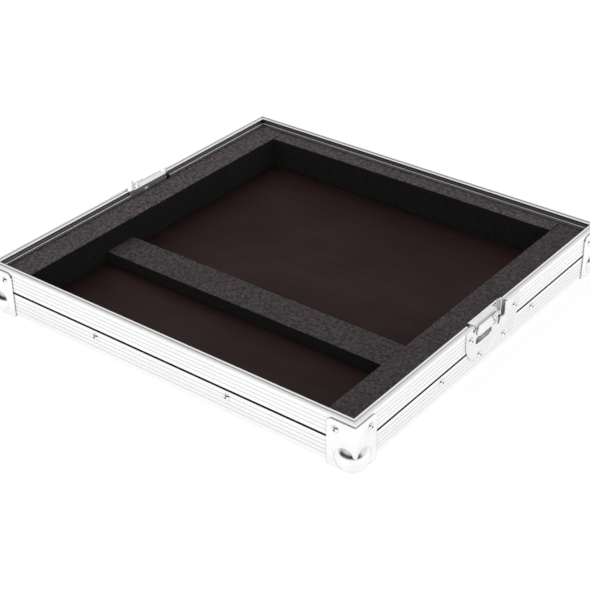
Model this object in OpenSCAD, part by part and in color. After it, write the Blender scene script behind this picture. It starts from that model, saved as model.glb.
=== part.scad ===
// Open base tray of a guitar pedal case: brown plywood walls and floor held by
// aluminium extrusions, braced ball corners, two recessed turn latches for a
// lift-off lid, and grey foam that carries the pedal unit.
// Origin: middle of the footprint, on the surface that the four ball feet stand on.
// X runs along the front wall, Y runs from the front wall to the back, Z is up.

/* [Tray] */
// Outside width of the tray over the extrusions, along X
case_w = 446; // [380:1:600]
// Outside depth of the tray over the extrusions, along Y
case_d = 433; // [360:1:600]
// Height of the walls, from under the lower extrusion to the top of the rim
wall_h = 51; // [49:0.5:90]
// Thickness of the plywood panels
panel_t = 6.8; // [5:0.1:9]
// Thickness of the extrusion legs
leg_t = 1.1; // [0.9:0.1:1.6]

/* [Lower extrusion] */
// Length of both legs of the lower angle
edge_leg = 25.5; // [23:0.5:29]
// Radius of the outer edge of the lower angle
edge_round = 2.5; // [1:0.1:3]

/* [Rim extrusion] */
// Height of the rim extrusion
rim_h = 23; // [18:0.5:40]
// Width of the lip on top of the rim
lip_w = 6.7; // [5.5:0.1:7.5]
// Height of the lip above the inner ledge
lip_h = 4.1; // [2.5:0.1:6]
// Thickness of the web that closes the panel channel
web_t = 1.3; // [1:0.1:2]
// Distance from the outer face to the sealing groove in the lip
seal_in = 1.8; // [1.2:0.1:2.2]
// Width of the sealing groove
seal_w = 2.7; // [1.5:0.1:3]
// Depth of the sealing groove
seal_depth = 0.7; // [0.4:0.1:2.5]

/* [Ribbing] */
// Width of each groove on the extrusion faces
rib_w = 0.9; // [0.5:0.1:1.2]
// Depth of each groove on the extrusion faces
rib_depth = 0.15; // [0.1:0.05:0.45]
// Spacing of the grooves
rib_pitch = 4.4; // [3:0.1:6]
// Grooves on the face of the rim
rim_ribs = 4; // [2:1:4]
// Grooves on each leg of the lower angle
edge_ribs = 4; // [2:1:4]

/* [Ball corners] */
// Thickness of the corner plates
brace_t = 1.2; // [0.8:0.1:2]
// Reach of the corner plates along each wall
brace_w = 30; // [29:0.5:36]
// Height of the corner plates above the bottom of the lower extrusion
brace_h = 48; // [45:0.5:48.5]
// Radius of the upper outer corner of each plate
brace_round = 6; // [3:0.5:7]
// Radius of the upright outer edge
brace_edge = 2.5; // [1.5:0.1:3.5]
// Radius of the ball
ball_r = 16.3; // [14:0.1:18]
// How far the ball stands out of each face
ball_out = 6; // [4:0.1:7]

/* [Rivets] */
// Radius of the rivet heads
head_r = 3.7; // [3:0.1:4.5]
// Height of the rivet heads
head_h = 1.9; // [1:0.1:2.2]
// Radius of the rivet bodies
shank_r = 2; // [1.5:0.1:2.4]
// Radius of the hole left by the mandrel
mandrel_r = 1.1; // [0.8:0.1:1.3]
// Depth of that hole
mandrel_depth = 1; // [0.6:0.1:1.2]
// Depth that a rivet reaches into the plywood
shank_len = 5.5; // [3:0.5:6]
// Distance of the corner rivets from the corner
corner_rivet_in = 20.5; // [19:0.5:23]
// Height of the corner rivets
corner_rivet_z = 38.5; // [36:0.5:40]
// Distance of the rivet under each corner from both walls
foot_rivet_in = 22.5; // [22:0.5:23]
// Spacing of the two rivets in each lower extrusion
edge_rivet_pitch = 163; // [120:1:260]
// Distance of the lower rivets from the outer edge of the extrusion
edge_rivet_in = 18.8; // [16:0.1:20]

/* [Foam] */
// Thickness of the foam along the left and right walls
side_foam_w = 31; // [20:0.5:45]
// Height of the side foam above the floor
side_foam_h = 35.5; // [20:0.5:37]
// Thickness of the foam along the back wall
back_foam_w = 20; // [10:0.5:40]
// Height of the foam along the back wall above the floor
back_foam_h = 35.5; // [20:0.5:37]
// Distance from the outer front face to the cross strip
strip_from_front = 121.5; // [60:0.5:200]
// Width of the cross strip
strip_w = 40; // [20:0.5:80]
// Height of the cross strip above the floor
strip_h = 14; // [8:0.5:25]
// Gap between foam and its neighbours
foam_gap = 0.3; // [0.2:0.05:0.5]

/* [Latch plate] */
// Distance of the latches behind the middle of the side walls
latch_back = 4.5; // [-20:0.5:20]
// Width of the latch plate along the wall
plate_w = 95; // [90:0.5:110]
// Height of the lower edge of the latch plate
plate_z = 11; // [10:0.1:11.5]
// Radius of the lower corners of the latch plate
plate_round = 28; // [20:0.5:28]
// Thickness of the sheet the plate and its pan are pressed from
sheet_t = 0.9; // [0.7:0.05:1]
// Depth of the pan behind the outer face of the wall
pan_depth = 6.8; // [6.6:0.05:6.9]
// Reach of the pan to the left of the turning axis, seen from outside
pan_left = 31; // [30:0.5:33]
// Reach of the pan to the right of the turning axis
pan_right = 26; // [25:0.5:30]
// Gap between the lower extrusion and the pan
pan_clear = 0.3; // [0.1:0.1:1]
// Radius of the lower corners of the pan
pan_round = 5; // [2:0.5:6]
// Width of the open notch between the pan and the cut end of the rim
notch_w = 4.5; // [3:0.5:5]
// Depth of that notch below the top of the rim
notch_h = 5; // [2:0.5:5]
// Where the wide part of the top flange ends, to the right of the turning axis
flange_right = 8.5; // [4:0.5:10]
// Distance from the outer face to the front of the top flange
flange_front = 0.6; // [0.4:0.1:2.5]
// Distance from the outer face to the back of the top flange
flange_back = 8.8; // [8:0.1:8.9]
// Where the opening for the hook begins, to the right of the turning axis
room_left = 5.8; // [5.5:0.1:6.5]
// Where the opening for the hook ends
room_right = 21.8; // [20:0.1:23]
// Width of the keyhole under that opening
key_w = 5.2; // [4:0.1:6]
// Length of the finger slot below the handle
slot_len = 27; // [22:0.5:27]
// Height of the finger slot
slot_h = 7.6; // [6:0.1:8]
// Height of the lower edge of the finger slot
slot_z = 30; // [29:0.1:31]
// Distance of the upper plate rivets from the turning axis
upper_rivet_v = 39.5; // [38.5:0.5:42]
// Height of the upper plate rivets
upper_rivet_z = 39.5; // [37:0.5:42]
// Distance of the lower plate rivets from the turning axis
lower_rivet_v = 22; // [18:0.5:28]
// Height of the lower plate rivets
lower_rivet_z = 15.8; // [15.6:0.1:17]

/* [Latch works] */
// Height of the turning axis
turn_z = 43; // [42.6:0.1:43.4]
// Radius of the rotor neck in front of the crank
neck_r = 2.8; // [2.4:0.1:2.9]
// Radius of the rotor journal in the pan
journal_r = 1.9; // [1.6:0.05:2.1]
// Running clearance of the journal and the hinge pin
run_gap = 0.05; // [0.02:0.01:0.1]
// Radius of the crank disc
crank_r = 5.4; // [5:0.1:5.6]
// Throw of the crank pin
throw = 3.2; // [3.1:0.05:3.5]
// Radius of the crank pin
crank_pin_r = 1; // [0.8:0.05:1.1]
// Half width of the rotor head
head_v = 3; // [2.9:0.1:3.4]
// Depth of the rotor head below the turning axis
head_down = 3.2; // [3:0.1:3.4]
// Thickness of the rotor head below the hinge
head_t = 1.1; // [0.9:0.1:1.6]
// Radius of the boss on the rotor head
boss_r = 1.8; // [1.5:0.1:2.6]
// Height of that boss
boss_h = 0.8; // [0.5:0.1:1]
// Height of the handle hinge above the turning axis
hinge_up = 6.3; // [5.8:0.1:6.3]
// Radius of the handle hinge pin
hinge_pin_r = 0.9; // [0.7:0.05:1]
// Radius of the knuckles round the hinge pin
knuckle_r = 1.7; // [1.5:0.05:1.8]
// Width of each handle knuckle
knuckle_w = 1.8; // [1.6:0.1:2.2]
// Thickness of the handle blade
blade_t = 1.4; // [1.2:0.1:1.8]
// Clearance between the latch plate and what turns in front of it
turn_gap = 0.4; // [0.3:0.05:0.8]
// Length of the handle blade from the turning axis
blade_len = 30; // [22:0.5:30]
// Reach of the blade above its hinge
blade_over = 1; // [0.5:0.1:1]
// Radius of the blade's corners
blade_round = 4; // [1:0.5:4]
// Depth of the blade below the turning axis
blade_down = 3.8; // [3.4:0.1:5]
// Distance of the thumb lobe to the right of the turning axis
lobe_v = 13.2; // [11:0.1:16]
// Depth of the lobe below the turning axis
lobe_down = 6.8; // [6:0.1:8]
// Radius of the lobe
lobe_r = 4.2; // [3.5:0.1:5]
// Height of the arm that carries the lobe
arm_h = 2.2; // [1.8:0.1:3]
// Depth of the arm below the turning axis
arm_down = 10; // [9:0.1:10.5]
// Thickness of the hook plate
hook_t = 1.4; // [1:0.1:1.6]
// Where the hook begins, to the right of the turning axis
hook_left = 14.5; // [13:0.1:16]
// Thickness of the hook's claw, along the wall
hook_w = 1.7; // [1.4:0.1:2.4]
// Distance from the outer face to the front of the claw
hook_front = 0.3; // [0.3:0.1:1]
// Distance from the outer face to the back of the claw
hook_head = 5.3; // [4.8:0.1:6]
// How far the top of the claw slopes down towards the back
hook_slope = 2.5; // [1:0.1:3]
// Height of the notch in the back of the claw
hook_bite = 2.4; // [1.5:0.1:3]
// Height of the raised hook above the rim
hook_up = 7; // [5:0.5:8]
// Clearance round the hook plate
hook_gap = 0.3; // [0.2:0.05:0.4]

/* [Hidden] */
$fn = 64;

aluminium = [0.80, 0.81, 0.83];
plated_steel = [0.74, 0.75, 0.78];
brown_ply = [0.20, 0.12, 0.10];
grey_foam = [0.27, 0.24, 0.27];

FRONT = 0;
RIGHT = 1;
BACK = 2;
LEFT = 3;
cut = 0.5;                                   // how far a cutter runs past a face
base_z = ball_out;                           // underside of the lower extrusion
wall_in = 2 * leg_t + panel_t;               // outer face to inner face of a wall
floor_z = leg_t + panel_t;                   // top of the floor above base_z
rim_z = wall_h - rim_h;                      // underside of the rim above base_z
ledge_z = wall_h - lip_h;                    // inner ledge of the rim above base_z
panel_top = ledge_z - web_t;                 // top edge of the wall panels above base_z
hole_r = shank_r + run_gap;                  // every rivet hole
ball_in = ball_r - ball_out;                 // centre of the ball, in from each face
notch_left = pan_left + sheet_t + notch_w;   // cut end of the rim, left of the axis
rim_right_end = pan_right + sheet_t + foam_gap;
pan_z = edge_leg + pan_clear + sheet_t;      // floor of the pan above base_z
inner_w = case_w - 2 * wall_in;
inner_d = case_d - 2 * wall_in;

// ---- frames ----------------------------------------------------------------

// Length of the wall on a side
function side_len(side) = side % 2 == 0 ? case_w : case_d;

// Distance from the middle of the tray to the outer face of a side
function side_out(side) = side % 2 == 0 ? case_d / 2 : case_w / 2;

// Frame of one wall: X along it, -Y outwards from its outer face, Z up from base_z
module on_side(side) {
    rotate([0, 0, 90 * side])
        translate([0, -side_out(side), base_z])
            children();
}

// Frame of one latch: on a wall, at its turning axis
module on_latch(side) {
    on_side(side)
        translate([side == RIGHT ? latch_back : -latch_back, 0, 0])
            children();
}

// Frame of one corner: the tray lies in +X, +Y and +Z
module on_corner(right, back) {
    translate([right ? case_w / 2 : -case_w / 2, back ? case_d / 2 : -case_d / 2, base_z])
        mirror([right ? 1 : 0, 0, 0])
            mirror([0, back ? 1 : 0, 0])
                children();
}

// Box in a wall or latch frame, from lowest to highest [along, outwards, up]
module box(low, high) {
    translate([low[0], -high[1], low[2]])
        cube([high[0] - low[0], high[1] - low[1], high[2] - low[2]]);
}

// Cylinder that points outwards from a wall, between two distances out
module outward_rod(along, up, r, from_out, to_out) {
    translate([along, -from_out, up])
        rotate([90, 0, 0])
            cylinder(r = r, h = to_out - from_out);
}

// Cylinder along a wall, between two places along it
module along_rod(from_v, to_v, out, up, r) {
    translate([from_v, -out, up])
        rotate([0, 90, 0])
            cylinder(r = r, h = to_v - from_v);
}

// ---- rivets ----------------------------------------------------------------

// Blind rivet: domed head on z = 0 with its mandrel hole, body below
module rivet(length) {
    dome_r = (head_r * head_r + head_h * head_h) / (2 * head_h);
    difference() {
        union() {
            intersection() {
                translate([0, 0, head_h - dome_r])
                    sphere(r = dome_r);
                cylinder(r = head_r, h = head_h);
            }
            translate([0, 0, -length])
                cylinder(r = shank_r, h = length + head_h / 2);
        }
        translate([0, 0, head_h - mandrel_depth])
            cylinder(r = mandrel_r, h = mandrel_depth + cut);
    }
}

// Places a rivet, or the cutter for its hole, on an outer face of a wall
module wall_rivet(along, out, up, through) {
    translate([along, -out, up])
        rotate([90, 0, 0])
            rivet(through + shank_len);
}

module wall_rivet_hole(along, up) {
    outward_rod(along, up, hole_r, -(leg_t + shank_len + foam_gap), brace_t + cut);
}

// Places of the rivets in each lower extrusion, along the wall
edge_rivet_places = [-edge_rivet_pitch / 2, edge_rivet_pitch / 2];

// All rivet holes in one wall, in the wall's frame
module wall_holes(side) {
    half = side_len(side) / 2;
    for (v = edge_rivet_places)
        wall_rivet_hole(v, edge_rivet_in);
    for (v = [-half + corner_rivet_in, half - corner_rivet_in])
        wall_rivet_hole(v, corner_rivet_z);
    if (side == RIGHT || side == LEFT)
        translate([side == RIGHT ? latch_back : -latch_back, 0, 0])
            latch_plate_holes();
}

module latch_plate_holes() {
    for (s = [-1, 1]) {
        wall_rivet_hole(s * upper_rivet_v, upper_rivet_z);
        wall_rivet_hole(s * lower_rivet_v, lower_rivet_z);
    }
}

// What is cut from the tray at its underside: rivet holes, and the tips inside the balls
module underside_cuts() {
    depth = leg_t + shank_len + foam_gap;
    tip_gap = 0.3;
    for (side = [FRONT, RIGHT, BACK, LEFT])
        on_side(side)
            for (v = edge_rivet_places)
                translate([v, edge_rivet_in, -cut])
                    cylinder(r = hole_r, h = depth + cut);
    for (right = [false, true])
        for (back = [false, true])
            on_corner(right, back) {
                translate([foot_rivet_in, foot_rivet_in, -brace_t - cut])
                    cylinder(r = hole_r, h = brace_t + cut + depth);
                ball_tip_cut(ball_r - brace_t - tip_gap);
            }
}

module corner_rivets() {
    color(plated_steel)
        for (side = [FRONT, RIGHT, BACK, LEFT])
            on_side(side)
                for (s = [-1, 1])
                    wall_rivet(s * (side_len(side) / 2 - corner_rivet_in), brace_t,
                               corner_rivet_z, brace_t + leg_t);
    color(plated_steel)
        for (right = [false, true])
            for (back = [false, true])
                on_corner(right, back)
                    translate([foot_rivet_in, foot_rivet_in, -brace_t])
                        mirror([0, 0, 1])
                            rivet(brace_t + leg_t + shank_len);
}

module edge_rivets() {
    color(plated_steel)
        for (side = [FRONT, RIGHT, BACK, LEFT])
            on_side(side)
                for (v = edge_rivet_places)
                    wall_rivet(v, 0, edge_rivet_in, leg_t);
}

module floor_rivets() {
    color(plated_steel)
        for (side = [FRONT, RIGHT, BACK, LEFT])
            on_side(side)
                for (v = edge_rivet_places)
                    translate([v, edge_rivet_in, 0])
                        mirror([0, 0, 1])
                            rivet(leg_t + shank_len);
}

// ---- plywood ---------------------------------------------------------------

module floor_panel() {
    color(brown_ply)
        difference() {
            translate([-case_w / 2 + leg_t, -case_d / 2 + leg_t, base_z + leg_t])
                cube([case_w - 2 * leg_t, case_d - 2 * leg_t, panel_t]);
            underside_cuts();
        }
}

// Plain wall panel: long ones at the front and back, short ones between them
module wall_panel(side) {
    end_in = side % 2 == 0 ? leg_t : leg_t + panel_t;
    half = side_len(side) / 2 - end_in;
    on_side(side)
        difference() {
            box([-half, -leg_t - panel_t, floor_z], [half, -leg_t, panel_top]);
            wall_holes(side);
        }
}

// Wall panel with the opening for the latch pan
module latched_panel(side) {
    difference() {
        wall_panel(side);
        on_latch(side)
            pan_shape(sheet_t + foam_gap, -wall_in - cut, cut);
    }
}

module front_panel() {
    color(brown_ply) wall_panel(FRONT);
}

module back_panel() {
    color(brown_ply) wall_panel(BACK);
}

module left_panel() {
    color(brown_ply) latched_panel(LEFT);
}

module right_panel() {
    color(brown_ply) latched_panel(RIGHT);
}

// ---- extrusions ------------------------------------------------------------

// Shallow grooves in a face at x = 0, evenly spaced about mid_y
module rib_cuts(count, mid_y) {
    for (i = [0 : count - 1])
        translate([-cut, mid_y + (i - (count - 1) / 2) * rib_pitch - rib_w / 2])
            square([rib_depth + cut, rib_w]);
}

// Section of the lower angle: x is inwards from the outer face, y is up
module edge_section() {
    difference() {
        union() {
            translate([0, edge_round])
                square([leg_t, edge_leg - edge_round]);
            translate([edge_round, 0])
                square([edge_leg - edge_round, leg_t]);
            intersection() {
                translate([edge_round, edge_round])
                    circle(r = edge_round);
                difference() {
                    square([edge_round, edge_round]);
                    translate([leg_t, leg_t])
                        square([edge_round, edge_round]);
                }
            }
        }
        rib_cuts(edge_ribs, edge_leg / 2 + edge_round / 2);
        mirror([1, -1])
            rib_cuts(edge_ribs, edge_leg / 2 + edge_round / 2);
    }
}

// Section of the rim: panel channel below, lip with a sealing groove on top
module rim_section() {
    difference() {
        union() {
            translate([0, rim_z])
                square([wall_in, ledge_z - rim_z]);
            translate([0, ledge_z - cut])
                square([lip_w, lip_h + cut]);
        }
        translate([leg_t, rim_z - cut])
            square([panel_t, panel_top - rim_z + cut]);
        translate([seal_in, wall_h - seal_depth])
            square([seal_w, seal_depth + cut]);
        rib_cuts(rim_ribs, rim_z + rim_h / 2);
    }
}

// Extrudes a section along a wall and cuts both ends to 45 degrees
module mitred_bar(side, height) {
    half = side_len(side) / 2;
    reach = edge_leg * 2;
    difference() {
        rotate([90, 0, 90])
            translate([0, 0, -half])
                linear_extrude(height = 2 * half)
                    children();
        for (s = [-1, 1])
            translate([s * half, 0, -cut])
                rotate([0, 0, s > 0 ? 45 : -45])
                    translate([s > 0 ? 0 : -reach, -reach / 2, 0])
                        cube([reach, 2 * reach, height + 2 * cut]);
    }
}

module edge_bar(side) {
    color(aluminium)
        difference() {
            on_side(side)
                difference() {
                    mitred_bar(side, edge_leg)
                        edge_section();
                    wall_holes(side);
                }
            underside_cuts();
        }
}

// Rim bar between two places along the wall
module rim_bar(side, from_v, to_v) {
    color(aluminium)
        on_side(side)
            difference() {
                intersection() {
                    mitred_bar(side, wall_h)
                        rim_section();
                    box([from_v, -wall_in - cut, 0], [to_v, cut, wall_h + cut]);
                }
                wall_holes(side);
            }
}

module full_rim(side) {
    rim_bar(side, -side_len(side), side_len(side));
}

// Rim pieces beside a latch, seen from outside: left and right of its axis
module rim_left_of_latch(side) {
    axis_v = side == RIGHT ? latch_back : -latch_back;
    rim_bar(side, -side_len(side), axis_v - notch_left);
}

module rim_right_of_latch(side) {
    axis_v = side == RIGHT ? latch_back : -latch_back;
    rim_bar(side, axis_v + rim_right_end, side_len(side));
}

module edge_front() { edge_bar(FRONT); }
module edge_right() { edge_bar(RIGHT); }
module edge_back() { edge_bar(BACK); }
module edge_left() { edge_bar(LEFT); }
module rim_front() { full_rim(FRONT); }
module rim_back() { full_rim(BACK); }
module rim_right_front() { rim_left_of_latch(RIGHT); }
module rim_right_back() { rim_right_of_latch(RIGHT); }
module rim_left_back() { rim_left_of_latch(LEFT); }
module rim_left_front() { rim_right_of_latch(LEFT); }

// ---- ball corners ----------------------------------------------------------

// Plan of the two upright plates round the corner at the origin
module brace_plan() {
    difference() {
        union() {
            translate([brace_edge - brace_t, -brace_t])
                square([brace_w + brace_t - brace_edge, brace_w + brace_t]);
            translate([-brace_t, brace_edge - brace_t])
                square([brace_w + brace_t, brace_w + brace_t - brace_edge]);
            translate([brace_edge - brace_t, brace_edge - brace_t])
                circle(r = brace_edge);
        }
        square([brace_w + cut, brace_w + cut]);
    }
}

// Cutter that rounds the upper outer corner of the plate on the front face
module plate_corner_cut() {
    translate([brace_w - brace_round, -brace_t - cut, brace_h - brace_round])
        difference() {
            cube([brace_round + cut, brace_t + 2 * cut, brace_round + cut]);
            rotate([-90, 0, 0])
                cylinder(r = brace_round, h = brace_t + 2 * cut);
        }
}

// The same cutter on the other upright face of the corner
module on_other_face() {
    children();
    mirror([1, -1, 0])
        children();
}

// Cutter for what lies outside a sphere about the ball's centre, in its outer lower eighth
module ball_tip_cut(r) {
    reach = 2 * ball_r;
    translate([ball_in, ball_in, ball_in])
        difference() {
            translate([-reach, -reach, -reach])
                cube(reach);
            sphere(r = r, $fn = 96);
        }
}

// The three plates of a corner: two upright, one underneath
module corner_plates() {
    linear_extrude(height = brace_h)
        brace_plan();
    translate([0, 0, -brace_t])
        linear_extrude(height = brace_t)
            union() {
                brace_plan();
                square([brace_w, brace_w]);
            }
}

module ball_corner(right, back) {
    color(plated_steel)
        on_corner(right, back)
            difference() {
                union() {
                    difference() {
                        corner_plates();
                        ball_tip_cut(ball_r - brace_t / 2);
                    }
                    translate([ball_in, ball_in, ball_in])
                        sphere(r = ball_r, $fn = 96);
                }
                difference() {
                    cube([brace_w + ball_r, brace_w + ball_r, brace_h + ball_r]);
                    ball_tip_cut(ball_r - brace_t);
                }
                on_other_face() {
                    plate_corner_cut();
                    wall_rivet_hole(corner_rivet_in, corner_rivet_z);
                }
                translate([foot_rivet_in, foot_rivet_in, -brace_t - cut])
                    cylinder(r = hole_r, h = brace_t + 2 * cut);
            }
}

module corner_front_left() { ball_corner(false, false); }
module corner_front_right() { ball_corner(true, false); }
module corner_back_left() { ball_corner(false, true); }
module corner_back_right() { ball_corner(true, true); }

// ---- foam ------------------------------------------------------------------

// Foam block on the floor, from low to high in X and Y
module foam_block(low, high, height) {
    color(grey_foam)
        translate([low[0], low[1], base_z + floor_z + foam_gap])
            cube([high[0] - low[0], high[1] - low[1], height - foam_gap]);
}

foam_x = inner_w / 2 - foam_gap;             // outer face of the side foam
foam_y = inner_d / 2 - foam_gap;             // ends of the side foam
bay_x = inner_w / 2 - side_foam_w - foam_gap; // ends of what lies between it

module foam_right() {
    foam_block([inner_w / 2 - side_foam_w, -foam_y], [foam_x, foam_y], side_foam_h);
}

module foam_left() {
    mirror([1, 0, 0])
        foam_right();
}

module foam_back() {
    foam_block([-bay_x, inner_d / 2 - back_foam_w], [bay_x, foam_y], back_foam_h);
}

module foam_strip() {
    front = strip_from_front - case_d / 2;
    foam_block([-bay_x, front], [bay_x, front + strip_w], strip_h);
}

// ---- latch plate -----------------------------------------------------------

// Solid in the shape of the pan, grown by some margin, between two distances out
module pan_shape(margin, from_out, to_out) {
    r = pan_round + margin;
    left = -pan_left - margin;
    right = pan_right + margin;
    low = pan_z - margin;
    translate([0, -from_out, 0])
        rotate([90, 0, 0])
            linear_extrude(height = to_out - from_out)
                union() {
                    translate([left, low + r])
                        square([right - left, wall_h + cut - low - r]);
                    translate([left + r, low])
                        square([right - left - 2 * r, r + cut]);
                    for (x = [left + r, right - r])
                        translate([x, low + r])
                            circle(r = r);
                }
}

// Outline of the latch plate
module plate_outline() {
    half = plate_w / 2;
    difference() {
        union() {
            translate([-half, plate_z + plate_round])
                square([plate_w, wall_h - plate_z - plate_round]);
            translate([-half + plate_round, plate_z])
                square([plate_w - 2 * plate_round, plate_round + cut]);
            for (x = [-half + plate_round, half - plate_round])
                translate([x, plate_z + plate_round])
                    circle(r = plate_round);
        }
        translate([-half - cut, wall_h])
            square([plate_w + 2 * cut, plate_round]);
        translate([-notch_left, wall_h - notch_h])
            square([notch_w, notch_h + cut]);
    }
}

// Round-ended opening in the latch plate, from lowest to highest [along, up]
module plate_opening(low, high) {
    size = high - low;
    r = min(size[0], size[1]) / 2;
    inset = size[0] > size[1] ? [r, 0] : [0, r];
    translate([0, cut, 0])
        rotate([90, 0, 0])
            linear_extrude(height = sheet_t + 2 * cut)
                union() {
                    translate(low + inset)
                        square(size - 2 * inset);
                    for (centre = [low + [r, r], high - [r, r]])
                        translate(centre)
                            circle(r = r);
                }
}

// Openings in the front of the plate: finger slot, keyhole, hub, and room for the hook
module plate_openings() {
    slot_left = -pan_left + hook_gap;
    room_low = turn_z - crank_r;
    plate_opening([slot_left, slot_z], [slot_left + slot_len, slot_z + slot_h]);
    plate_opening([room_left, room_low - key_w], [room_left + key_w, room_low + key_w]);
    outward_rod(0, turn_z, neck_r + turn_gap, -cut, sheet_t + cut);
    box([room_left, -cut, room_low], [room_right, sheet_t + cut, wall_h + cut]);
}

module latch_plate(side) {
    fold_right = room_right - hook_w / 2;
    color(plated_steel)
        on_latch(side)
            difference() {
                union() {
                    rotate([90, 0, 0])
                        linear_extrude(height = sheet_t)
                            plate_outline();
                    intersection() {
                        pan_shape(sheet_t, -pan_depth - sheet_t, 0);
                        box([-plate_w, -wall_in, 0], [plate_w, 0, wall_h]);
                    }
                    box([-pan_left, -flange_back, wall_h - sheet_t],
                        [fold_right, -pan_depth, wall_h]);
                }
                difference() {
                    pan_shape(0, -pan_depth, 0);
                    box([-pan_left - cut, -pan_depth - cut, wall_h - sheet_t],
                        [flange_right, -flange_front, wall_h]);
                }
                plate_openings();
                box([-notch_left, -wall_in, panel_top], [-pan_left, 0, wall_h + cut]);
                outward_rod(0, turn_z, journal_r + run_gap, -wall_in, 0);
                latch_plate_holes();
            }
}

module latch_rivets(side) {
    color(plated_steel)
        on_latch(side)
            for (s = [-1, 1]) {
                wall_rivet(s * upper_rivet_v, sheet_t, upper_rivet_z, sheet_t + leg_t);
                wall_rivet(s * lower_rivet_v, sheet_t, lower_rivet_z, sheet_t + leg_t);
            }
}

// ---- latch works -----------------------------------------------------------

turn_out = sheet_t + turn_gap;               // back of all that turns outside the plate
hinge_z = turn_z + hinge_up;
hinge_out = turn_out + knuckle_r;
hook_back = -pan_depth + hook_gap;           // back face of the hook plate
crank_t = 1.6;
crank_back = hook_back + hook_t + hook_gap;
crank_front = crank_back + crank_t;
head_low = turn_z - head_down;
head_front = turn_out + head_t;
window_v = head_v + turn_gap;                // half width of the handle's window
blade_low = turn_z - blade_down;
blade_top = hinge_z + blade_over;
arm_low = turn_z - arm_down;

// Rotor: journal in the pan, crank disc and pin, neck, and head with the hinge eye
module rotor(side) {
    stake_out = -pan_depth - sheet_t - run_gap;
    stake_t = 0.9;
    stake_w = 1.2;
    lap = 0.2;                               // how far joined shapes run into each other
    boss_out = head_front + boss_h;
    color(plated_steel)
        on_latch(side)
            difference() {
                union() {
                    outward_rod(0, turn_z, journal_r, stake_out - stake_t, crank_front);
                    outward_rod(0, turn_z, journal_r + stake_w, stake_out - stake_t, stake_out);
                    outward_rod(0, turn_z, crank_r, crank_back, crank_front);
                    outward_rod(0, turn_z + throw, crank_pin_r, hook_back + lap, crank_front);
                    outward_rod(0, turn_z, neck_r, crank_back, turn_out + lap);
                    box([-head_v, turn_out, head_low], [head_v, head_front, hinge_z]);
                    along_rod(-head_v, head_v, hinge_out, hinge_z, knuckle_r);
                    outward_rod(0, turn_z, boss_r, turn_out, boss_out);
                }
                along_rod(-head_v - cut, head_v + cut, hinge_out, hinge_z,
                          hinge_pin_r + run_gap);
                outward_rod(0, turn_z, boss_r / 2, head_front, boss_out + cut);
            }
}

module handle_pin(side) {
    reach = window_v + knuckle_w;
    color(plated_steel)
        on_latch(side)
            along_rod(-reach, reach, hinge_out, hinge_z, hinge_pin_r);
}

// Outline of the handle: a blade to the left, a bridge under the rotor head, and
// an arm with a round lobe to the right
module handle_outline() {
    r = blade_round;
    side_v = window_v + knuckle_w;
    difference() {
        union() {
            translate([-blade_len + r, blade_low])
                square([blade_len - r, blade_top - blade_low]);
            translate([-blade_len, blade_low + r])
                square([r + cut, blade_top - blade_low - 2 * r]);
            for (z = [blade_low + r, blade_top - r])
                translate([-blade_len + r, z])
                    circle(r = r);
            translate([-side_v, arm_low])
                square([2 * side_v, blade_top - arm_low]);
            translate([0, arm_low])
                square([lobe_v, arm_h]);
            translate([lobe_v, turn_z - lobe_down])
                circle(r = lobe_r);
        }
        translate([-window_v, head_low - turn_gap])
            square([2 * window_v, blade_top - head_low + turn_gap + cut]);
    }
}

module handle(side) {
    side_v = window_v + knuckle_w;
    color(plated_steel)
        on_latch(side)
            difference() {
                union() {
                    translate([0, -turn_out, 0])
                        rotate([90, 0, 0])
                            linear_extrude(height = blade_t)
                                handle_outline();
                    for (from_v = [-side_v, window_v])
                        along_rod(from_v, from_v + knuckle_w, hinge_out, hinge_z, knuckle_r);
                }
                along_rod(-side_v - run_gap, side_v + run_gap, hinge_out, hinge_z,
                          hinge_pin_r + run_gap);
            }
}

// Outline of the claw: x is inwards from the outer face, y is up
module claw_outline(low, top) {
    back_top = top - hook_slope;
    bite_top = back_top - hook_bite / 2;
    bite_in = hook_head - hook_bite / 2;
    polygon([
        [-hook_back, low],
        [hook_front, low],
        [hook_front, top],
        [hook_head, back_top],
        [hook_head, bite_top],
        [bite_in, bite_top],
        [bite_in, bite_top - hook_bite],
        [hook_head, bite_top - hook_bite],
        [hook_head, turn_z],
        [-hook_back, turn_z]
    ]);
}

// Hook: slotted plate driven by the crank pin, and an upright claw on its right
module hook(side) {
    pin_room = 0.8;                          // free height round the crank pin
    pin_slot = crank_pin_r + pin_room;
    slot = journal_r + hook_gap;
    end_w = 2.5;                             // metal left round the slots
    low = turn_z - crank_r;
    right = hook_left + hook_w;
    plate_left = -throw - pin_slot - end_w;
    plate_top = turn_z + throw + pin_slot + end_w / 2;
    color(plated_steel)
        on_latch(side)
            difference() {
                union() {
                    box([plate_left, hook_back, low], [right, hook_back + hook_t, plate_top]);
                    translate([hook_left, 0, 0])
                        rotate([90, 0, 90])
                            linear_extrude(height = hook_w)
                                claw_outline(turn_z - throw, wall_h + hook_up);
                }
                box([-slot, hook_back - cut, turn_z], [slot, hook_back + hook_t + cut, wall_h]);
                outward_rod(0, turn_z, slot, hook_back - cut, hook_back + hook_t + cut);
                box([-throw - pin_slot, hook_back - cut, turn_z + throw - pin_slot],
                    [throw + pin_slot, hook_back + hook_t + cut, turn_z + throw + pin_slot]);
            }
}

module right_latch_plate() { latch_plate(RIGHT); }
module right_latch_rivets() { latch_rivets(RIGHT); }
module right_rotor() { rotor(RIGHT); }
module right_handle() { handle(RIGHT); }
module right_handle_pin() { handle_pin(RIGHT); }
module right_hook() { hook(RIGHT); }
module left_latch_plate() { latch_plate(LEFT); }
module left_latch_rivets() { latch_rivets(LEFT); }
module left_rotor() { rotor(LEFT); }
module left_handle() { handle(LEFT); }
module left_handle_pin() { handle_pin(LEFT); }
module left_hook() { hook(LEFT); }

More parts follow.
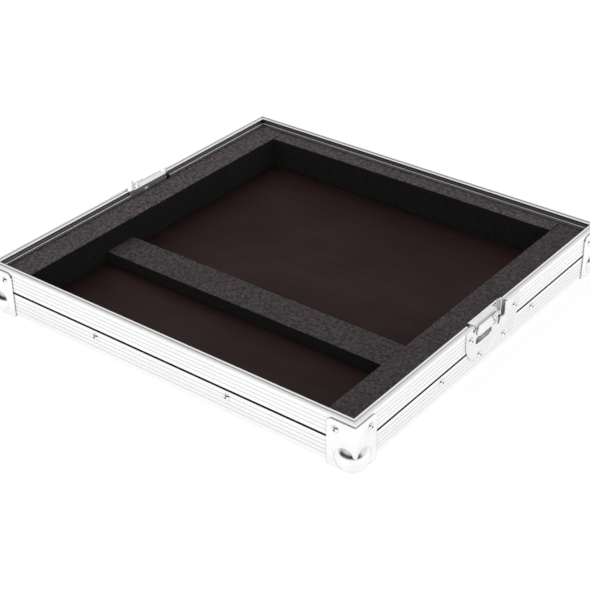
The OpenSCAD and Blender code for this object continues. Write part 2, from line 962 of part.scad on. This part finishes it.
floor_panel();
front_panel();
back_panel();
left_panel();
right_panel();
edge_front();
edge_right();
edge_back();
edge_left();
rim_front();
rim_back();
rim_right_front();
rim_right_back();
rim_left_front();
rim_left_back();
corner_front_left();
corner_front_right();
corner_back_left();
corner_back_right();
corner_rivets();
edge_rivets();
floor_rivets();
foam_left();
foam_right();
foam_back();
foam_strip();
right_latch_plate();
right_latch_rivets();
right_rotor();
right_handle();
right_handle_pin();
right_hook();
left_latch_plate();
left_latch_rivets();
left_rotor();
left_handle();
left_handle_pin();
left_hook();
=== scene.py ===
"""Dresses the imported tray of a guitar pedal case: materials, foam, studio and camera."""
import math

import bpy
from mathutils import Matrix, Vector, noise


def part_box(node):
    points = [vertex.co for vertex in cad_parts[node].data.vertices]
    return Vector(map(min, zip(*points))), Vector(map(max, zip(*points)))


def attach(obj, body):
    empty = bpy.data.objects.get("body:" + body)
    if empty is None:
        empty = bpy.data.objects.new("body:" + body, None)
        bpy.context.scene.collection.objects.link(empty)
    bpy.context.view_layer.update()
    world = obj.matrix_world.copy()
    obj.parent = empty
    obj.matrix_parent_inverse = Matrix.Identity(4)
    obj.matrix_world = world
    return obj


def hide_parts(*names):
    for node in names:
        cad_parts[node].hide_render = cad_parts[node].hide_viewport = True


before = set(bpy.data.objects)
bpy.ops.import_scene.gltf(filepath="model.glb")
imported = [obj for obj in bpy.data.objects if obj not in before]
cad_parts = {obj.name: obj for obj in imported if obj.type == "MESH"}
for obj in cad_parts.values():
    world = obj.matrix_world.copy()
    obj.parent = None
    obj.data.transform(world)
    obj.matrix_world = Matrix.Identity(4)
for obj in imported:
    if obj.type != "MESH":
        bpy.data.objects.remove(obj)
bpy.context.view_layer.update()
MM = 0.001


def new_object(name, data):
    obj = bpy.data.objects.new(name, data)
    bpy.context.scene.collection.objects.link(obj)
    return obj


# ---- camera ------------------------------------------------------------------------

CAM_AZIMUTH = math.radians(37.728)      # from straight in front, towards the right side
CAM_ELEVATION = math.radians(31.761)
CAM_ROLL = math.radians(-0.4186)
CAM_DISTANCE = 1474.2 * MM
CAM_SHIFT_RIGHT = -5.83 * MM
CAM_SHIFT_UP = -31.73 * MM
CAM_TARGET = Vector((0, 0, 31.6 * MM))
LENS_MM = 87.75
SENSOR_MM = 36
CLIP_START = 10 * MM


def make_camera():
    back = Vector((
        math.sin(CAM_AZIMUTH) * math.cos(CAM_ELEVATION),
        -math.cos(CAM_AZIMUTH) * math.cos(CAM_ELEVATION),
        math.sin(CAM_ELEVATION),
    ))
    level_right = (-back).cross(Vector((0, 0, 1))).normalized()
    level_up = level_right.cross(-back)
    right = level_right * math.cos(CAM_ROLL) + level_up * math.sin(CAM_ROLL)
    up = -level_right * math.sin(CAM_ROLL) + level_up * math.cos(CAM_ROLL)
    place = CAM_TARGET + back * CAM_DISTANCE + right * CAM_SHIFT_RIGHT + up * CAM_SHIFT_UP
    data = bpy.data.cameras.new("camera")
    data.lens = LENS_MM
    data.sensor_width = SENSOR_MM
    data.clip_start = CLIP_START
    cam = new_object("camera", data)
    axes = Matrix((right, up, back)).transposed().to_4x4()
    cam.matrix_world = Matrix.Translation(place) @ axes
    bpy.context.scene.camera = cam


make_camera()

# ---- node helpers ------------------------------------------------------------------

EVEN = (1, 1, 1)
BLACK_AO = 0.35             # how closed in a point is where its painted shade is full
OPEN_AO = 0.95              # and where it has none


class Nodes:
    """Small helper round one node tree. Values may be sockets or plain numbers."""

    def __init__(self, tree):
        self.tree = tree
        tree.nodes.clear()

    def add(self, kind, **inputs):
        """A node with some inputs set by name, with _ for each space in the name."""
        node = self.tree.nodes.new(kind)
        for name, value in inputs.items():
            node.inputs[name.replace("_", " ")].default_value = value
        return node

    def link(self, a, b):
        self.tree.links.new(a, b)

    def feed(self, socket, value):
        """Links a socket, or sets a number or a colour."""
        if isinstance(value, (int, float)):
            socket.default_value = value
        elif isinstance(value, tuple):
            socket.default_value = (*value, 1)
        else:
            self.link(value, socket)

    def coords(self, stretch=EVEN):
        """Object coordinates, which are the shared frame's, scaled per axis."""
        tex = self.add("ShaderNodeTexCoord")
        mapping = self.add("ShaderNodeMapping", Scale=stretch)
        self.link(tex.outputs["Object"], mapping.inputs["Vector"])
        return mapping.outputs["Vector"]

    def noise(self, scale, detail, rough, stretch=EVEN):
        n = self.add("ShaderNodeTexNoise", Scale=scale, Detail=detail, Roughness=rough)
        self.link(self.coords(stretch), n.inputs["Vector"])
        return n.outputs["Fac"]

    def voronoi(self, scale):
        n = self.add("ShaderNodeTexVoronoi", Scale=scale)
        self.link(self.coords(), n.inputs["Vector"])
        return n.outputs["Distance"]

    def remap(self, value, low, high, to_low, to_high):
        n = self.add("ShaderNodeMapRange", From_Min=low, From_Max=high, To_Min=to_low, To_Max=to_high)
        self.link(value, n.inputs["Value"])
        return n.outputs["Result"]

    def calc(self, operation, a, b=0):
        n = self.add("ShaderNodeMath")
        n.operation = operation
        self.feed(n.inputs[0], a)
        self.feed(n.inputs[1], b)
        return n.outputs[0]

    def times(self, first, *others):
        for value in others:
            first = self.calc("MULTIPLY", first, value)
        return first

    def invert(self, value):
        return self.calc("SUBTRACT", 1.0, value)

    def mix(self, factor, a, b, blend="MIX"):
        n = self.add("ShaderNodeMix")
        n.data_type = "RGBA"
        n.blend_type = blend
        colour_sockets = n.inputs[6], n.inputs[7]
        self.feed(n.inputs[0], factor)
        self.feed(colour_sockets[0], a)
        self.feed(colour_sockets[1], b)
        return n.outputs[2]

    def bump(self, height, strength, distance, normal=None):
        n = self.add("ShaderNodeBump", Strength=strength, Distance=distance)
        self.link(height, n.inputs["Height"])
        if normal is not None:
            self.link(normal, n.inputs["Normal"])
        return n.outputs["Normal"]

    def paint_crease_shade(self, reach, crease_shade):
        """Painted shade: 1 in the open, down to the given level in grooves and at seams within
        `reach`.
        """
        ao = self.add("ShaderNodeAmbientOcclusion", Distance=reach)
        ao.samples = 8
        return self.remap(ao.outputs["AO"], BLACK_AO, OPEN_AO, crease_shade, 1.0)

    def parts(self, vector):
        """The three components of a vector."""
        n = self.add("ShaderNodeSeparateXYZ")
        self.link(vector, n.inputs[0])
        return n.outputs

    def round_edges(self, radius):
        n = self.add("ShaderNodeBevel", Radius=radius)
        n.samples = 6
        return n.outputs["Normal"]


def material(name):
    mat = bpy.data.materials.new(name)
    mat.use_nodes = True
    nodes = Nodes(mat.node_tree)
    bsdf = nodes.add("ShaderNodeBsdfPrincipled")
    out = nodes.add("ShaderNodeOutputMaterial")
    nodes.link(bsdf.outputs[0], out.inputs["Surface"])
    return mat, nodes, bsdf


# ---- metals ------------------------------------------------------------------------

RIM_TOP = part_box("rim_front")[1][2]
LEDGE_DROP = 4.1 * MM       # from the top of the rim down to its inner ledge
LEDGE_Z = RIM_TOP - LEDGE_DROP
# distance from the middle to the rim's inner face: of the front and back, of the sides
INNER_FACE = (-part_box("rim_front")[1][1], -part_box("rim_left_front")[1][0])
STEP_SHADE = 0.72            # how much darker the painted shade makes the step inside the rim
LEDGE_EDGE = 0.9 * MM       # rounding of the ledge's inner edge, which carries the painted highlight
ALU_EDGE = 0.25 * MM        # rounding of all other edges
INWARD_METAL = 0.93         # share of bare metal on faces that look at the foam


def rim_zones(n, along):
    """Masks of the stepped rim on an extrusion: the painted highlight on its ledge edge, its painted
    shade, its lower face.

    The painted shade on the step stands for the dark inside of the tray that the step mirrors, but
    for the ledge's inner edge, which keeps a painted highlight.
    """
    geometry = n.add("ShaderNodeNewGeometry")
    place = n.parts(geometry.outputs["Position"])
    facing = n.parts(geometry.outputs["True Normal"])
    across, height = place[1 - along], place[2]
    depth = n.calc("SUBTRACT", n.calc("ABSOLUTE", across), INNER_FACE[along])
    over_ledge = n.remap(height, LEDGE_Z + 0.02 * MM, LEDGE_Z + 0.2 * MM, 0, 1)
    edge_low = n.remap(height, LEDGE_Z - 1.2 * MM, LEDGE_Z - 0.6 * MM, 0, 1)
    edge_near = n.remap(depth, 0.8 * MM, 1.1 * MM, 1, 0)
    # painted highlight: the ledge's inner edge is kept clear of the painted shade
    ledge_highlight = n.times(edge_low, n.invert(over_ledge), edge_near)
    # painted shade on the step between the ledge and the rim's top, for the dark tray it mirrors
    step = n.times(
        n.remap(height, LEDGE_Z - 0.3 * MM, LEDGE_Z - 0.1 * MM, 0, 1),
        n.remap(height, RIM_TOP - 0.3 * MM, RIM_TOP - 0.1 * MM, 1, 0),
        n.remap(depth, 2.5 * MM, 2.9 * MM, 1, 0),
    )
    shade = n.invert(n.times(step, STEP_SHADE))
    # place times normal is negative on the faces that look into the tray
    inward = n.remap(n.times(across, facing[1 - along]), -0.12, -0.04, 1, 0)
    lower = n.times(inward, n.invert(over_ledge))
    return ledge_highlight, shade, lower


def aluminium(name, along):
    """Satin anodised extrusion with fine draw lines along one axis."""
    mat, n, bsdf = material(name)
    ledge_highlight, shade, lower = rim_zones(n, along)
    lines = n.noise(1, 3, 0.6, tuple(3 if i == along else 900 for i in range(3)))
    bands = n.noise(1, 2, 0.5, tuple(1.2 if i == along else 160 for i in range(3)))
    smudge = n.noise(14, 4, 0.6)
    tone = n.mix(n.remap(bands, 0.35, 0.7, 0, 1), (0.95, 0.954, 0.958), (0.985, 0.987, 0.99))
    tone = n.mix(n.remap(smudge, 0.45, 0.75, 0, 0.18), tone, (0.88, 0.885, 0.89))
    # painted shade in the grooves, at the seams and deep inside the rim
    crease_shade = n.times(n.paint_crease_shade(1.4 * MM, 0.9), n.paint_crease_shade(5 * MM, 0.55))
    # painted shade from the creases and the step, with the painted highlight on the ledge edge at
    # full brightness
    level = n.calc("MAXIMUM", n.times(crease_shade, shade), ledge_highlight)
    n.link(n.mix(1.0, tone, level, "MULTIPLY"), bsdf.inputs["Base Color"])
    n.link(n.remap(lower, 0, 1, 1, INWARD_METAL), bsdf.inputs["Metallic"])
    rough = n.calc("ADD", n.remap(lines, 0.3, 0.7, 0.22, 0.32), n.remap(smudge, 0.4, 0.7, 0, 0.08))
    n.link(rough, bsdf.inputs["Roughness"])
    edge = n.mix(ledge_highlight, n.round_edges(ALU_EDGE), n.round_edges(LEDGE_EDGE))
    n.link(n.bump(lines, 0.12, 0.05 * MM, edge), bsdf.inputs["Normal"])
    return mat


def plated_steel(name, rough, base, edge_radius, seam, mottle=0.06, rim=0.62, bare=1.0):
    """Bright zinc plating: soft mottle, faint rubbed lines, painted shade where pieces meet.

    `seam` is how dark the painted shade at the seams goes, `rim` how dark the painted shade goes on
    faces that turn away from the eye, and `bare` the share of bare metal under the pale film of the
    plating.
    """
    mat, n, bsdf = material(name)
    cloud = n.noise(55, 5, 0.6)
    grain = n.noise(900, 3, 0.6)
    scuff = n.noise(1, 2, 0.5, (40, 900, 700))
    dull = tuple(c * 0.92 for c in base)
    tone = n.mix(n.remap(cloud, 0.38, 0.68, 0, 1), base, dull)
    turned = n.add("ShaderNodeLayerWeight", Blend=0.5).outputs["Facing"]
    # painted shade at the seams and on faces that turn away from the eye
    level = n.times(n.paint_crease_shade(1.8 * MM, seam), n.remap(turned, 0.72, 0.97, 1.0, rim))
    n.link(n.mix(1.0, tone, level, "MULTIPLY"), bsdf.inputs["Base Color"])
    bsdf.inputs["Metallic"].default_value = bare
    mottled = n.remap(cloud, 0.35, 0.7, rough, rough + mottle)
    rubbed = n.remap(scuff, 0.55, 0.8, 0, 0.08)
    n.link(n.calc("ADD", mottled, rubbed), bsdf.inputs["Roughness"])
    n.link(n.bump(grain, 0.08, 0.04 * MM, n.round_edges(edge_radius)), bsdf.inputs["Normal"])
    return mat


# ---- plywood and foam materials ------------------------------------------------------


def phenolic_ply(name):
    """Brown film-faced plywood: satin film with faint grain telegraphing through."""
    mat, n, bsdf = material(name)
    dark, light = (0.0150, 0.0073, 0.0066), (0.0225, 0.0112, 0.0101)
    stain = (0.0125, 0.0068, 0.0062)
    grain = n.noise(1, 5, 0.62, (9, 120, 60))
    blotch = n.noise(9, 4, 0.55)
    fibre = n.noise(1, 3, 0.6, (60, 1400, 900))
    tone = n.mix(n.remap(grain, 0.3, 0.72, 0, 1), dark, light)
    tone = n.mix(n.remap(blotch, 0.42, 0.72, 0, 0.6), tone, stain)
    n.link(tone, bsdf.inputs["Base Color"])
    n.link(n.remap(blotch, 0.3, 0.7, 0.5, 0.64), bsdf.inputs["Roughness"])
    bsdf.inputs["Specular IOR Level"].default_value = 0.08
    height = n.calc("ADD", n.remap(grain, 0, 1, 0, 0.7), n.remap(fibre, 0, 1, 0, 0.3))
    n.link(n.bump(height, 0.25, 0.08 * MM, n.round_edges(0.3 * MM)), bsdf.inputs["Normal"])
    return mat


def foam_material(name, level):
    """Open-cell foam: speckle of lit cell walls and dark pores at three scales."""
    mat, n, bsdf = material(name)
    light = tuple(level * c for c in (0.100, 0.083, 0.090))
    mid = tuple(level * c for c in (0.046, 0.037, 0.041))
    dark = (0.008, 0.0065, 0.0070)
    painted_side_shade = (0.005, 0.0045, 0.0045)
    cells = n.voronoi(620)
    pores = n.voronoi(330)
    clumps = n.noise(260, 3, 0.7)
    drift = n.noise(22, 3, 0.5)
    tone = n.mix(n.remap(cells, 0.15, 0.5, 0, 1), mid, light)
    tone = n.mix(n.remap(pores, 0.06, 0.34, 0.95, 0), tone, dark)
    tone = n.mix(n.remap(clumps, 0.42, 0.60, 0, 0.75), tone, dark)
    tone = n.mix(n.remap(drift, 0.4, 0.7, 0, 0.35), tone, mid)
    # painted shade: faces that turn away from up are darkened towards near black, for the shade the
    # cut sides lie in
    up = n.parts(n.add("ShaderNodeNewGeometry").outputs["True Normal"])["Z"]
    tone = n.mix(n.remap(up, 0.3, 0.8, 0.9, 0), tone, painted_side_shade)
    n.link(tone, bsdf.inputs["Base Color"])
    n.link(n.remap(cells, 0, 0.6, 0.95, 0.8), bsdf.inputs["Roughness"])
    bsdf.inputs["Specular IOR Level"].default_value = 0.08
    bsdf.inputs["Sheen Weight"].default_value = 0.05
    bsdf.inputs["Sheen Roughness"].default_value = 0.6
    height = n.calc("ADD", n.remap(cells, 0, 0.6, 0, 0.5), n.remap(pores, 0, 0.4, 0, 0.6))
    n.link(n.bump(height, 0.9, 0.9 * MM), bsdf.inputs["Normal"])
    return mat


# ---- which node wears what -----------------------------------------------------------

ALU_X = aluminium("aluminium_along_x", along=0)
ALU_Y = aluminium("aluminium_along_y", along=1)
CORNER = plated_steel(
    "corner_zinc", rough=0.16, base=(0.975, 0.978, 0.98), edge_radius=1.4 * MM, seam=0.5, rim=0.45
)
LATCH = plated_steel(
    "latch_zinc", rough=0.20, base=(0.96, 0.962, 0.965), edge_radius=0.35 * MM, seam=0.85, bare=0.86
)
HOOK = plated_steel(
    "hook_zinc", rough=0.34, base=(0.97, 0.972, 0.975), edge_radius=0.3 * MM, seam=0.96, bare=0.45
)
RIVET = plated_steel(
    "rivet_bright", rough=0.12, base=(0.93, 0.935, 0.94), edge_radius=0.2 * MM, seam=0.3,
    mottle=0.04, rim=0.2
)
PLY = phenolic_ply("phenolic_ply")
FOAM = foam_material("cell_foam", 1.0)
# painted shade: a darker copy of the foam for the blocks that lie in shade
FOAM_SHADED = foam_material("cell_foam_shaded", 0.7)


def finish_for(node):
    if node.endswith(("_rivets", "_handle_pin")):
        return RIVET
    if node.startswith(("rim_front", "rim_back", "edge_front", "edge_back")):
        return ALU_X
    if node.startswith(("rim_", "edge_")):
        return ALU_Y
    if node.startswith("corner_"):
        return CORNER
    if node.endswith("_panel"):
        return PLY
    # the right block and the strip wear the darker copy as painted shade
    if node in ("foam_right", "foam_strip"):
        return FOAM_SHADED
    if node.startswith("foam_"):
        return FOAM
    if node.endswith("_hook"):
        return HOOK
    return LATCH


for node_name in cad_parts:
    for slot in bpy.data.objects[node_name].material_slots:
        slot.material = finish_for(node_name)

# ---- foam blocks ---------------------------------------------------------------------

FOAM_STEP = 2.4 * MM            # spacing of the grid on a block's faces
FOAM_ROUND = 0.5 * MM           # rounding of its cut edges
FOAM_TEAR = 0.25 * MM           # height of each scale of unevenness
FOAM_TEAR_SCALES = (18, 210, 520)
FOAM_INSET = 0.2 * MM           # keeps the uneven faces inside the block's box
CORNERS = ((0, 0), (1, 0), (1, 1), (0, 1))


def cut_lines(low, high):
    """Places of the grid lines across one side, close together at both rounded edges."""
    inner_low, inner_high = low + FOAM_ROUND, high - FOAM_ROUND
    count = max(2, round((inner_high - inner_low) / FOAM_STEP))
    lines = [low, low + 0.3 * FOAM_ROUND]
    lines += [inner_low + (inner_high - inner_low) * i / count for i in range(count + 1)]
    return lines + [high - 0.3 * FOAM_ROUND, high]


def box_grid(axes):
    """Vertices and quads of a closed box whose faces are cut along the given lines."""
    size = [len(lines) - 1 for lines in axes]
    index = {}
    verts = []
    faces = []

    def vertex(key):
        if key not in index:
            index[key] = len(verts)
            verts.append(Vector(tuple(axes[i][key[i]] for i in range(3))))
        return index[key]

    for axis in range(3):
        u, v = (axis + 1) % 3, (axis + 2) % 3
        for end in (0, size[axis]):
            for a in range(size[u]):
                for b in range(size[v]):
                    quad = []
                    for da, db in CORNERS:
                        key = [0, 0, 0]
                        key[axis], key[u], key[v] = end, a + da, b + db
                        quad.append(vertex(tuple(key)))
                    faces.append(quad if end else quad[::-1])
    return verts, faces


def foam_surface(point, low, high, shift):
    """A point of the box moved on to the block's rounded and torn surface."""
    core = Vector(tuple(
        min(max(point[i], low[i] + FOAM_ROUND), high[i] - FOAM_ROUND) for i in range(3)
    ))
    out = (point - core).normalized()
    place = core + out * FOAM_ROUND
    tear = sum(noise.noise(place * scale + shift) for scale in FOAM_TEAR_SCALES) * FOAM_TEAR
    return place + out * (tear - FOAM_INSET)


def foam_piece(node, seed):
    low, high = (Vector(c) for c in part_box(node))
    verts, faces = box_grid([cut_lines(low[i], high[i]) for i in range(3)])
    shift = Vector((seed * 3.1, seed * 7.7, seed * 1.3))
    mesh = bpy.data.meshes.new(node + "_cut")
    mesh.from_pydata([tuple(foam_surface(p, low, high, shift)) for p in verts], [], faces)
    mesh.validate()
    for poly in mesh.polygons:
        poly.use_smooth = True
    mesh.materials.append(finish_for(node))
    obj = new_object(node + "_cut", mesh)
    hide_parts(node)
    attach(obj, "tray")


for i, foam_node in enumerate(("foam_left", "foam_right", "foam_back", "foam_strip")):
    foam_piece(foam_node, i + 1)

# ---- studio --------------------------------------------------------------------------

WHITE = (1, 1, 1, 1)
FLOOR_HALF = 6.0
FLOOR_GREY = 0.28
FLOOR_GLOW = 0.82               # what the eye and the metals see on top of the lit floor
WORLD_FILL = 0.5
ROOM_AZIMUTH = CAM_AZIMUTH - math.radians(18)
ROOM_DARK = 0.97


def studio_floor():
    mat, n, bsdf = material("studio_floor")
    bsdf.inputs["Base Color"].default_value = (FLOOR_GREY, FLOOR_GREY, FLOOR_GREY, 1)
    bsdf.inputs["Roughness"].default_value = 1
    bsdf.inputs["Specular IOR Level"].default_value = 0
    path = n.add("ShaderNodeLightPath")
    seen = n.calc("MAXIMUM", path.outputs["Is Camera Ray"], path.outputs["Is Glossy Ray"])
    glow = n.add("ShaderNodeEmission", Color=WHITE)
    n.link(n.times(seen, FLOOR_GLOW), glow.inputs["Strength"])
    both = n.add("ShaderNodeAddShader")
    n.link(bsdf.outputs[0], both.inputs[0])
    n.link(glow.outputs[0], both.inputs[1])
    out = next(x for x in n.tree.nodes if x.type == "OUTPUT_MATERIAL")
    n.link(both.outputs[0], out.inputs["Surface"])
    mesh = bpy.data.meshes.new("studio_floor")
    r = FLOOR_HALF
    mesh.from_pydata([(-r, -r, 0), (r, -r, 0), (r, r, 0), (-r, r, 0)], [], [(0, 1, 2, 3)])
    mesh.materials.append(mat)
    new_object("studio_floor", mesh)


def dark_room(n):
    """What metal mirrors: a white cyclorama, and a low dark room to the camera's left."""
    direction = n.add("ShaderNodeTexCoord").outputs["Generated"]
    ahead = n.add("ShaderNodeVectorMath")
    ahead.operation = "DOT_PRODUCT"
    ahead.inputs[1].default_value = (math.sin(ROOM_AZIMUTH), -math.cos(ROOM_AZIMUTH), 0)
    n.link(direction, ahead.inputs[0])
    low = n.remap(n.parts(direction)["Z"], 0.38, 0.52, 1, 0)
    side = n.remap(ahead.outputs["Value"], 0.1, 0.45, 0, ROOM_DARK)
    room = n.add("ShaderNodeBackground")
    n.link(n.invert(n.times(low, side)), room.inputs["Strength"])
    return room


def studio_world():
    world = bpy.data.worlds.new("studio")
    bpy.context.scene.world = world
    world.use_nodes = True
    n = Nodes(world.node_tree)
    path = n.add("ShaderNodeLightPath")
    seen = n.calc("MAXIMUM", path.outputs["Is Camera Ray"], path.outputs["Is Transmission Ray"])
    fill = n.add("ShaderNodeBackground", Color=WHITE, Strength=WORLD_FILL)
    white = n.add("ShaderNodeBackground", Color=WHITE, Strength=1)
    lit = n.add("ShaderNodeMixShader")
    n.link(path.outputs["Is Glossy Ray"], lit.inputs[0])
    n.link(fill.outputs[0], lit.inputs[1])
    n.link(dark_room(n).outputs[0], lit.inputs[2])
    whole = n.add("ShaderNodeMixShader")
    n.link(seen, whole.inputs[0])
    n.link(lit.outputs[0], whole.inputs[1])
    n.link(white.outputs[0], whole.inputs[2])
    out = n.add("ShaderNodeOutputWorld")
    n.link(whole.outputs[0], out.inputs["Surface"])


def soft_lamp(name, place, size, power):
    """A square lamp aimed at the middle of the floor, which metals don't mirror."""
    data = bpy.data.lights.new(name, "AREA")
    data.shape = "SQUARE"
    data.size = size
    data.energy = power
    lamp = new_object(name, data)
    lamp.location = place
    lamp.rotation_euler = (-Vector(place)).to_track_quat("-Z", "Y").to_euler()
    lamp.visible_glossy = False


studio_floor()
studio_world()
soft_lamp("key", place=(-0.9, 0.6, 1.7), size=1.6, power=22)
soft_lamp("front_fill", place=(0.9, -1.5, 1.1), size=1.4, power=7)

view = bpy.context.scene.view_settings
view.view_transform = "Standard"
